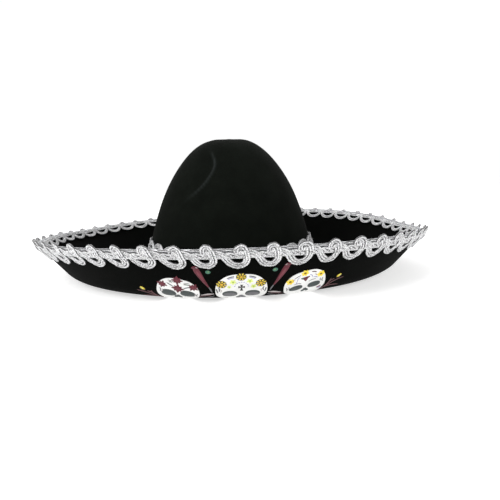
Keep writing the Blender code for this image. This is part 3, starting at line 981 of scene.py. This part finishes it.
def make_sweatband(tape, thread):
    profile = crown_wall()
    corner = np.linspace(0, math.pi, 5)[1:-1]
    half = SWEATBAND_THICKNESS / 2
    down = np.linspace(SWEATBAND_TOP, SWEATBAND_BOTTOM, SWEATBAND_STEPS)
    up = np.linspace(SWEATBAND_BOTTOM, SWEATBAND_TOP, SWEATBAND_STEPS)
    low = SWEATBAND_BOTTOM - half * np.sin(corner)
    top = SWEATBAND_TOP + half * np.sin(corner)
    height = np.concatenate([down, low, up, top])
    turned = half * np.cos(corner)
    inset = np.concatenate([0 * down, half - turned, 2 * half + 0 * up, half + turned])
    angles = ring_angles(SWEATBAND_SPOKES)[:, None]
    overlap = OVERLAP_RISE * np.exp(-(((angles - math.pi) / OVERLAP_HALF_ANGLE) ** 4))
    ripple = TAPE_RIPPLE * np.sin(17 * angles) * np.sin(5 * angles + 1)
    radius = np.interp(height, profile[:, 1], profile[:, 0])[None] - FELT - SWEATBAND_CLEARANCE
    radius = radius - inset[None] - (overlap + ripple) * (inset[None] > half)
    points = place(angles, radius, np.broadcast_to(height[None], radius.shape))
    quads = grid_faces(len(angles), len(height), True, True)
    around = angles * CROWN_BASE_RADIUS / MM
    uv = np.stack(np.broadcast_arrays(around, (height[None] + inset[None]) / MM), axis=-1)
    add_piece("sweatband_woven", points, quads, tape, ("sweatband",), uv)
    parts = []
    pitch = STITCH_LENGTH + STITCH_GAP
    rows = (SWEATBAND_TOP - STITCH_INSET, SWEATBAND_BOTTOM + STITCH_INSET)
    depth = FELT + SWEATBAND_CLEARANCE + SWEATBAND_THICKNESS
    reaches = np.interp(rows, profile[:, 1], profile[:, 0]) - depth
    count = int(2 * math.pi * reaches[0] / MM / pitch)
    for row, reach in zip(rows, reaches - STITCH_STAND_OFF):
        for index in range(count):
            share = np.linspace(0, STITCH_LENGTH / pitch, STITCH_POINTS)
            angle = (index + share) * 2 * math.pi / count
            arch = STITCH_ARCH * np.sin(np.linspace(0, math.pi, STITCH_POINTS))
            line = place(angle, reach - arch, np.full(STITCH_POINTS, row))
            inward = place(angle, np.full(STITCH_POINTS, -1.0), np.zeros(STITCH_POINTS))
            parts.append(cord(line, inward, False, THREAD_RADIUS, THREAD_RING, THREAD_SIDES))
    points, quads, uv = joined(parts)
    add_piece("sweatband_stitching", points, quads, thread, (), uv)


# ---- prints ----


# Each ink's colour, and its material slot where the record has one
INKS = {
    "white": ((0.70, 0.70, 0.69), "print_white"),
    "pale": ((0.42, 0.38, 0.38), "print_white"),
    "grey": ((0.11, 0.11, 0.118), None),
    "slate": ((0.040, 0.050, 0.049), None),
    "dark": ((0.010, 0.009, 0.007), None),
    "brown": ((0.022, 0.012, 0.004), None),
    "yellow": ((0.64, 0.49, 0.042), "print_yellow"),
    "bright": ((0.80, 0.62, 0.05), "print_yellow"),
    "gold": ((0.60, 0.36, 0.02), "print_yellow"),
    "maroon": ((0.092, 0.008, 0.018), "print_maroon"),
    "rose": ((0.145, 0.022, 0.034), "print_maroon"),
    "dusk": ((0.095, 0.038, 0.042), "print_maroon"),
    "green": ((0.045, 0.14, 0.095), "print_green"),
    "lime": ((0.62, 0.70, 0.20), "print_green"),
    "leaf": ((0.30, 0.42, 0.08), "print_green"),
    "violet": ((0.25, 0.24, 0.42), None),
}

# The CAD nodes that each ink's piece stands for, besides the skulls
INK_STANDS_FOR = {
    "yellow": ("bud_print_left", "bud_print_right"),
    "maroon": ("streak_print_left", "streak_print_right"),
    "dusk": ("twig_print_left", "twig_print_right"),
    "green": ("dot_print_left", "dot_print_right"),
    "pale": ("stroke_print_left", "stroke_print_right"),
}

# A skull's half width down its height, as shares of its whole half width and height
SKULL_OUTLINE = (
    (0, 0.0),
    (0.006, 0.3),
    (0.02, 0.44),
    (0.042, 0.58),
    (0.075, 0.7),
    (0.115, 0.8),
    (0.16, 0.89),
    (0.204, 0.95),
    (0.25, 0.985),
    (0.3, 1.0),
    (0.42, 1.0),
    (0.5, 0.95),
    (0.57, 0.85),
    (0.63, 0.75),
    (0.7, 0.68),
    (0.78, 0.64),
    (0.86, 0.58),
    (0.93, 0.47),
    (0.98, 0.28),
    (1, 0.0),
)
SKULL_ROWS = 44
SKULL_COLUMNS = 19
SKULL_SMOOTHINGS = 2
SKULL_END = 0.02

# The skulls' grounds, as (CAD node, middle, top, half width, height) in millimetres
GROUNDS = (
    ("skull_print_centre", 0.15, 25.1, 19.7, 51),
    ("skull_print_left", -46.7, 35.5, 16.7, 45),
    ("skull_print_right", 48.4, 32.9, 16.9, 45),
)

# The layer of a shape's edge, which goes down to the felt
ON_FELT = -2

# A blob's rings and a stroke's lines, as shares of their half widths
BLOB_RINGS = (0.02, 0.35, 0.7, 0.97, 1.0)
STROKE_LINES = (-1, -0.9, 0, 0.9, 1)

# How a skull's sockets and nostrils are turned, in degrees, and how square its sockets are
SOCKET_TURN = 6
SOCKET_POWER = 2.3
NOSTRIL_TURN = -18


class Print:
    """The artwork: flat shapes by ink, each as points (across, down, layer) in millimetres and quads.

    Blobs and strokes are mirrored across the origin while side is -1.
    """

    def __init__(self):
        self.parts = {}
        self.origin = (0.0, 0.0)
        self.layer = 1
        self.side = 1

    def add(self, ink, flat, rows, columns, wrap):
        """Adds a grid of points whose edge goes down to the felt."""
        layer = np.full(flat.shape[:-1] + (1,), float(self.layer))
        layer[-1] = ON_FELT
        if not wrap:
            layer[0] = layer[:, 0] = layer[:, -1] = ON_FELT
        moved = np.concatenate([flat + self.origin, layer], axis=-1)
        uv = moved[..., :2].reshape(-1, 2)
        quads = grid_faces(rows, columns, False, wrap)
        self.parts.setdefault(ink, []).append((moved.reshape(-1, 3), quads, uv))

    def blob(self, ink, x, y, half_width, half_height, turn=0, petals=0, depth=0.0, power=2.0):
        """A round, squared or petalled shape."""
        spokes = max(24, petals * 8)
        around = np.linspace(0, 2 * math.pi, spokes, endpoint=False)
        reach = (np.abs(np.cos(around)) ** power + np.abs(np.sin(around)) ** power) ** (-1 / power)
        reach = reach * (1 - depth * (0.5 - 0.5 * np.cos(petals * around)))
        shares = np.array(BLOB_RINGS)[:, None]
        flat_x = shares * reach * np.cos(around) * half_width
        flat_y = shares * reach * np.sin(around) * half_height
        turn = math.radians(turn) * self.side
        flat = np.stack([
            self.side * x + flat_x * math.cos(turn) - flat_y * math.sin(turn),
            y + flat_x * math.sin(turn) + flat_y * math.cos(turn),
        ], axis=-1)
        self.add(ink, flat, len(shares), spokes, True)

    def stroke(self, ink, *stations):
        """A line of (x, y, half width) stations, smoothed."""
        stations = np.array(stations, dtype=float) * (self.side, 1, 1)
        first, last = 2 * stations[0] - stations[1], 2 * stations[-1] - stations[-2]
        line = smoothed(np.concatenate([[first], stations, [last]]), STROKE_SAMPLES)
        line = np.concatenate([line, stations[-1:]])
        across = np.array(STROKE_LINES)
        sideways = np.abs(line[:, 2:]) * square_to(line[:, :2])
        flat = line[:, None, :2] + across[None, :, None] * sideways[:, None]
        self.add(ink, flat, len(line), len(across), False)

    def petals(self, ink, x, y, size, count, turn, shares):
        """A ring of petals. shares gives their distance, half length and half width as shares of size."""
        reach, half_length, half_width = (size * share for share in shares)
        for index in range(count):
            at = math.radians(turn) + 2 * math.pi * index / count
            where = (x + reach * math.cos(at), y + reach * math.sin(at))
            self.blob(ink, *where, half_length, half_width, math.degrees(at))

    def daisy(self, x, y, size, turn, petals=8):
        """Yellow petals parted by brown gaps, with a gold eye."""
        self.layer = 2
        self.blob("brown", x, y, size * 1.04, size * 1.04, turn, petals, 0.08)
        self.layer = 3
        self.petals("yellow", x, y, size, petals, turn, (0.68, 0.32, 0.14))
        self.layer = 4
        self.blob("brown", x, y, size * 0.42, size * 0.42)
        self.layer = 5
        self.blob("gold", x, y, size * 0.3, size * 0.3)

    def lotus(self, x, y, size, turn=0):
        """A maroon flower of pointed petals of two lengths, with a rose middle."""
        self.layer = 2
        for index in range(8):
            at = math.radians(turn) + math.pi * index / 4
            reach = size * (1 if index % 2 == 0 else 0.8)
            ahead = reach * np.array((math.cos(at), math.sin(at), 0))
            near = (x, y, 0.1 * size) + 0.1 * ahead
            broad = (x, y, 0.24 * size) + 0.5 * ahead
            self.stroke("maroon", near, broad, (x, y, 0.05) + ahead)
        self.layer = 3
        self.blob("rose", x, y, size * 0.26, size * 0.2, 0, 5, 0.3)

    def flower(self, petal, eye, x, y, size, petals=5, turn=0):
        """A small flower of rounded petals."""
        self.layer = 2
        self.petals(petal, x, y, size, petals, turn, (0.56, 0.46, 0.34))
        self.layer = 3
        self.blob(eye, x, y, size * 0.32, size * 0.32)

    def teeth(self, y, half_width, height, count):
        """A mouth line crossed by short lines between the teeth."""
        self.layer = 2
        self.stroke("slate", (-half_width, y - 0.8, 0.25), (0, y + 0.6, 0.4), (half_width, y - 0.8, 0.25))
        for index in range(count):
            x = half_width * 0.86 * (2 * index / (count - 1) - 1)
            dip = 1.0 * (1 - (x / half_width) ** 2)
            self.stroke("slate", (x, y - height + dip, 0.12), (x, y + dip, 0.3), (x, y + height + dip, 0.12))


def skull_ground(art, middle, top, half_width, height):
    """The white ground of one skull, in rows from its top."""
    shares, halves = np.array(SKULL_OUTLINE).T
    rows = 0.5 * (1 - np.cos(np.linspace(0, 1, SKULL_ROWS) * math.pi))
    half = np.interp(rows, shares, halves)
    for _ in range(SKULL_SMOOTHINGS):
        half[1:-1] = 0.25 * half[:-2] + 0.5 * half[1:-1] + 0.25 * half[2:]
    half[[0, -1]] = SKULL_END
    across = np.linspace(-1, 1, SKULL_COLUMNS)
    x = middle + across[None, :] * half[:, None] * half_width
    y = np.broadcast_to((top + rows * height)[:, None], x.shape)
    art.add("white", np.stack([x, y], axis=-1), len(rows), len(across), False)


def centre_skull(art):
    """Yellow daisies, a small flared cross under an arch of dots, and lime flowers."""
    art.origin = (0, 0)
    art.daisy(-0.3, 27.8, 4.0, 22)
    art.daisy(-14.7, 35.9, 4.0, 10)
    art.daisy(14.4, 35.5, 4.0, 30)
    for x, y, size in ((-6.3, 33.3, 2.6), (6.2, 32.5, 2.6), (9.0, 38.5, 2.3), (-9.0, 38.5, 1.7)):
        art.flower("lime", "leaf", x, y, size, 5, 18)
    art.layer = 2
    cross = (0.1, 38.7)
    for turn, reach in ((0, 2.6), (180, 2.6), (90, 4.2), (270, 2.7)):
        at = math.radians(turn)
        ahead = (math.cos(at), math.sin(at))
        near = (cross[0], cross[1], 0.6)
        mid = (cross[0] + 0.55 * reach * ahead[0], cross[1] + 0.55 * reach * ahead[1], 0.8)
        far = (cross[0] + reach * ahead[0], cross[1] + reach * ahead[1], 1.55)
        art.stroke("dark", near, mid, far)
    for index in range(9):
        at = math.radians(-172 + index * 164 / 8)
        art.blob("violet", 0.1 + 5.1 * math.cos(at), 38.5 + 5.1 * math.sin(at), 0.5, 0.42)
    for art.side in (-1, 1):
        art.stroke("grey", (5.2, 27.2, 0.5), (8.0, 28.0, 0.62), (11.2, 29.6, 0.5))
        art.stroke("violet", (5.4, 28.6, 0.3), (8.0, 29.3, 0.4), (10.6, 30.7, 0.3))
        art.stroke("grey", (16.9, 39.5, 0.3), (16.0, 41.6, 0.6), (16.4, 44.6, 0.3))
        art.stroke("grey", (18.4, 41.0, 0.3), (17.9, 43.2, 0.6), (17.0, 46.4, 0.3))
        art.stroke("pale", (14.9, 41.4, 0.2), (14.6, 43.2, 0.5), (15.4, 45.2, 0.2))
        art.stroke("violet", (11.5, 33.4, 0.1), (12.2, 36.2, 0.28), (11.8, 38.4, 0.1))
    eyes_and_nose(art, 8.35, 46.8, 5.7, 4.2, 51.9, 3.4, "slate", "grey")
    art.teeth(64.0, 8.0, 2.6, 9)
    art.flower("lime", "leaf", 0, 71.0, 1.6)
    for art.side in (-1, 1):
        art.layer = 2
        art.stroke("maroon", (9.0, 56.5, 0.2), (11.5, 58.5, 0.7), (11.0, 61.4, 0.2))
        art.blob("violet", 9.4, 60.6, 0.6, 0.6)


def eyes_and_nose(art, apart, y, half_width, half_height, nose_y, nose_half, deep, soft, tilt=0):
    """Grey sockets, darker along the top, and a parted nose. tilt lowers the right socket."""
    socket = (SOCKET_TURN, 0, 0, SOCKET_POWER)
    for art.side in (-1, 1):
        level = y + art.side * tilt
        art.layer = 2
        art.blob(deep, apart, level, half_width, half_height, *socket)
        art.layer = 3
        art.blob(soft, apart, level + 0.7, half_width * 0.86, half_height * 0.72, *socket)
        art.layer = 2
        art.blob(soft, nose_half * 0.5, nose_y + 0.8, nose_half * 0.55, nose_half * 0.9, NOSTRIL_TURN)
    art.layer = 2
    art.blob(soft, 0, nose_y - 0.9, nose_half * 0.6, nose_half * 0.8)


def left_skull(art):
    """Maroon flowers, green sprigs and thin brow lines."""
    art.origin = (-46.4, 52.3)
    for x, y, size, turn in ((-12.6, -7.6, 4.5, 10), (-1.4, -15.2, 4.9, -4), (10.9, -10.2, 4.6, 30)):
        art.lotus(x, y, size, turn)
    art.lotus(-0.5, -6.2, 5.4, 90)
    art.layer = 2
    art.blob("maroon", -1.0, -11.2, 0.8, 0.6, 0, 5, 0.4)
    for art.side in (-1, 1):
        art.stroke("grey", (3.4, -7.2, 0.4), (6.2, -8.9, 0.6), (9.6, -10.7, 0.3))
        art.stroke("grey", (3.4, -12.8, 0.3), (6.2, -13.8, 0.45), (8.8, -13.6, 0.2))
        art.flower("pale", "green", 5.6 - 0.8 * art.side, -12.6, 1.6, 4, 45)
        art.layer = 2
        art.stroke("green", (4.6, -11.4, 0.2), (6.2, -12.2, 0.6), (7.6, -11.8, 0.2))
        art.stroke("grey", (14.6, -3.4, 0.2), (13.6, -0.8, 0.5), (14.0, 2.2, 0.2))
        art.stroke("pale", (12.4, -2.4, 0.15), (12.2, 0.0, 0.4), (13.0, 2.0, 0.15))
    eyes_and_nose(art, 7.2, 0.1, 5.9, 4.5, 4.8, 2.9, "slate", "slate", -1.3)
    art.teeth(15.0, 6.6, 2.2, 8)


def right_skull(art):
    """Yellow flowers with brown eyes, and a red-brown triangle on the brow."""
    art.origin = (48.3, 51.3)
    for x, y, size in ((-11.6, -10.6, 3.2), (0.1, -16.2, 3.2), (12.9, -10.0, 3.2)):
        art.flower("bright", "brown", x, y, size, 6, 15)
        art.layer = 4
        art.blob("gold", x + 0.3, y + 0.8, 1.0, 0.6)
    art.layer = 2
    art.stroke("maroon", (-3.4, -11.4, 0.5), (0.4, -10.6, 1.5), (4.4, -11.6, 0.5))
    art.stroke("maroon", (0.6, -11.2, 2.6), (0.6, -9.2, 1.7), (0.5, -6.6, 0.1))
    art.layer = 3
    art.stroke("green", (-3.4, -11.6, 0.2), (-2.2, -11.2, 0.6), (-0.8, -10.8, 0.2))
    art.stroke("rose", (0.2, -9.8, 0.8), (0.8, -8.8, 0.6), (0.8, -7.6, 0.1))
    art.layer = 2
    art.stroke("grey", (-8.6, -12.6, 0.25), (-5.8, -14.2, 0.5), (-3.0, -15.4, 0.25))
    art.stroke("dusk", (5.0, -16.0, 0.25), (7.4, -15.2, 0.6), (9.6, -13.6, 0.25))
    art.stroke("violet", (6.4, -9.4, 0.2), (8.8, -8.4, 0.5), (10.4, -6.8, 0.2))
    art.stroke("violet", (-5.6, -9.8, 0.1), (-6.8, -7.8, 0.3), (-6.4, -5.8, 0.1))
    for art.side in (-1, 1):
        art.stroke("violet", (3.6, -13.6, 0.15), (5.6, -11.8, 0.35), (6.0, -9.2, 0.15))
        art.stroke("rose", (7.6, -12.2, 0.15), (9.2, -11.2, 0.3), (9.8, -9.2, 0.15))
        art.stroke("grey", (2.6, -5.4, 0.2), (5.4, -6.6, 0.35), (9.4, -6.2, 0.2))
        art.stroke("grey", (14.8, -5.0, 0.2), (13.9, -2.6, 0.45), (14.4, 0.2, 0.2))
        art.stroke("grey", (12.8, -5.4, 0.15), (12.4, -3.4, 0.4), (12.9, -1.4, 0.15))
    eyes_and_nose(art, 7.2, -0.9, 5.4, 3.3, 3.9, 2.7, "slate", "slate", 0.5)
    art.layer = 2
    art.stroke("rose", (8.8, 5.4, 0.2), (11.2, 5.2, 0.9), (13.2, 3.6, 0.2))
    art.stroke("violet", (9.6, 7.0, 0.2), (11.8, 6.8, 0.8), (13.6, 5.6, 0.2))
    art.teeth(15.0, 6.6, 2.2, 8)


# The left twigs and bud lie lower than the right ones, and nearer the middle, by this many millimetres
LEFT_SPRAY_SHIFT = (2.7, 4.6)

# The streak and the twigs of the right side, as (across, down, half width) in millimetres
STREAK = (
    (35.6, 20.4, 0.9),
    (34.4, 21.6, 2.0),
    (32.6, 25.0, 2.4),
    (29.9, 30.0, 1.9),
    (26.8, 35.4, 1.2),
    (23.9, 40.0, 0.5),
)
TWIGS = (
    ((61.0, 63.6, 0.5), (64.4, 60.0, 0.6), (67.6, 56.6, 0.5), (70.4, 52.6, 0.3)),
    ((65.4, 59.2, 0.35), (70.6, 57.6, 0.5), (76.0, 57.2, 0.45), (81.6, 58.0, 0.2)),
    ((64.0, 60.6, 0.35), (68.6, 61.0, 0.5), (73.2, 63.0, 0.4), (76.8, 65.8, 0.2)),
    ((68.4, 55.6, 0.3), (70.8, 54.6, 0.4), (73.4, 54.8, 0.2)),
)


def sprays(art):
    """The streaks, dots, twigs, buds and strokes beside the skulls."""
    art.origin = (0, 0)
    for art.side in (-1, 1):
        art.layer = 1
        art.stroke("maroon", *STREAK)
        art.stroke("maroon", (37.2, 21.6, 0.5), (35.2, 20.4, 1.3), (32.4, 20.6, 0.7))
        art.stroke("grey", (24.0, 39.8, 0.4), (22.4, 42.6, 0.6), (21.2, 45.6, 0.25))
        art.layer = 2
        art.stroke("rose", (33.4, 23.6, 0.4), (31.2, 27.2, 1.1), (27.0, 34.2, 0.3))
        art.stroke("dusk", (36.4, 20.8, 0.2), (35.0, 21.2, 0.6), (33.2, 20.6, 0.2))
        art.stroke("pale", (34.4, 19.9, 0.15), (33.4, 20.1, 0.3), (32.6, 20.9, 0.15))
        art.layer = 1
        art.blob("green", 24.9, 23.7, 2.0, 1.7)
        art.layer = 2
        art.blob("leaf", 24.6, 23.3, 0.45, 0.4)
        art.layer = 1
        art.origin = LEFT_SPRAY_SHIFT if art.side < 0 else (0, 0)
        for twig in TWIGS:
            art.stroke("dusk", *twig)
        art.stroke("brown", (74.6, 54.2, 0.3), (77.2, 54.2, 1.6), (79.9, 53.4, 0.3))
        art.layer = 2
        art.blob("yellow", 77.2, 53.1, 2.1, 1.15, -20)
        art.layer = 3
        art.blob("lime", 77.6, 52.8, 1.1, 0.5, -20)
        art.origin = (0, 0)
        art.layer = 1
        art.stroke("pale", (19.8, 47.4, 0.3), (24.4, 48.4, 0.8), (30.0, 51.0, 0.3))
        art.stroke("dusk", (21.6, 49.6, 0.25), (26.0, 51.0, 0.7), (31.6, 54.4, 0.25))
        art.stroke("grey", (19.4, 50.8, 0.2), (22.6, 53.2, 0.6), (26.4, 57.0, 0.2))


def print_place(points):
    """World points of the artwork, which lies upright on the brim's flat blank."""
    across, down, layer = points.T
    front = FLAT_BLANK_RADIUS - down * MM
    across = across * MM
    angle = PRINT_CENTRE + np.arctan2(across, front)
    out = np.where(layer < 0, 0, PRINT_LIFT + layer * PRINT_LAYER)
    return place(angle, *brim_point(FLAT_BLANK_RADIUS - np.hypot(across, front), out))


def make_prints():
    materials = {ink: ink_material(ink, colour) for ink, (colour, _) in INKS.items()}
    for name, middle, top, half_width, height in GROUNDS:
        art = Print()
        skull_ground(art, middle, top, half_width, height)
        points, quads, _ = joined(art.parts["white"])
        add_piece(f"{name}_ground", print_place(points), quads, materials["white"], (name,))
    art = Print()
    centre_skull(art)
    left_skull(art)
    right_skull(art)
    sprays(art)
    for ink, parts in art.parts.items():
        points, quads, _ = joined(parts)
        replaced = INK_STANDS_FOR.get(ink, ())
        add_piece(f"print_ink_{ink}", print_place(points), quads, materials[ink], replaced)


# ---- studio ----


def make_camera():
    data = bpy.data.cameras.new("camera")
    data.lens = CAMERA_LENS
    data.shift_x = CAMERA_SHIFT
    camera = linked("camera", data)
    turned = Matrix.Rotation(math.radians(90) - CAMERA_DIP, 4, "X") @ Matrix.Rotation(-CAMERA_ROLL, 4, "Z")
    camera.matrix_world = Matrix.Translation((0, -CAMERA_DISTANCE, CAMERA_HEIGHT)) @ turned
    bpy.context.scene.camera = camera


# Area lights, as (name, place, sides, watts), and what they point at
LIGHTS = (
    ("key", (-0.9, -0.9, 1.3), (0.9, 0.9), 22),
    ("fill", (1.3, -1.0, 0.8), (0.9, 0.7), 5),
    ("back", (0.2, 1.4, 1.4), (1.4, 0.6), 10),
)
LIGHT_TARGET = Vector((0, 0, 0.03))

# The floor reaches this far from the hat, and lies just under it
FLOOR_REACH = 6.0
FLOOR_POINTS = 13
FLOOR_DROP = 0.2 * MM


def make_light(name, place_at, size, power):
    data = bpy.data.lights.new(name, "AREA")
    data.shape = "RECTANGLE"
    data.size, data.size_y = size
    data.energy = power
    light = linked(name, data)
    light.location = place_at
    light.rotation_euler = (LIGHT_TARGET - Vector(place_at)).to_track_quat("-Z", "Y").to_euler()


def make_floor():
    mesh = bpy.data.meshes.new("floor")
    step = np.linspace(-FLOOR_REACH, FLOOR_REACH, FLOOR_POINTS)
    points = [(x, y, -FLOOR_DROP) for y in step for x in step]
    mesh.from_pydata(points, [], grid_faces(FLOOR_POINTS, FLOOR_POINTS).tolist())
    mesh.materials.append(floor_material())
    floor = linked("floor", mesh)


def make_studio():
    """A sky that is white at the horizon and grey overhead, with a key light on the left."""
    scene = bpy.context.scene
    scene.view_settings.view_transform = "Standard"
    world = bpy.data.worlds.new("studio")
    world.use_nodes = True
    tree = world.node_tree
    direction = tree.nodes.new("ShaderNodeTexCoord").outputs["Generated"]
    split = tree.nodes.new("ShaderNodeSeparateXYZ")
    ramp = tree.nodes.new("ShaderNodeMapRange")
    tree.links.new(direction, split.inputs["Vector"])
    tree.links.new(split.outputs["Z"], ramp.inputs["Value"])
    for name, number in zip(RANGE_ENDS, SKY):
        ramp.inputs[name].default_value = number
    tree.links.new(ramp.outputs["Result"], tree.nodes["Background"].inputs["Strength"])
    tree.nodes["Background"].inputs["Color"].default_value = (1, 1, 1, 1)
    scene.world = world
    for light in LIGHTS:
        make_light(*light)
    make_floor()


def main():
    make_camera()
    gimp = gimp_material("gimp_silver", GIMP_SILVER)
    # The strip under the cords is the same gimp made darker, as painted shade
    shaded_backing = gimp_material("gimp_backing_shaded", GIMP_BACKING_SHADED, paint_flank_shade=False)
    make_crown(felt_material("felt_crown", 1.0))
    # The brim takes the same felt at a quarter of the dye's brightness, as painted shade
    make_brim(felt_material("felt_brim_shaded", 0.25))
    make_ribbon(gimp)
    make_rim_lines(gimp)
    make_plait(gimp)
    make_buttons(gimp)
    make_inner_scallops(gimp)
    make_rim_strip(shaded_backing)
    make_hatband(gimp)
    make_sweatband(tape_material(), ink_material("thread", THREAD_BLACK))
    make_prints()
    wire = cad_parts["rim_wire"]
    wire.data.materials.clear()
    wire.data.materials.append(wire_material())
    make_studio()


main()
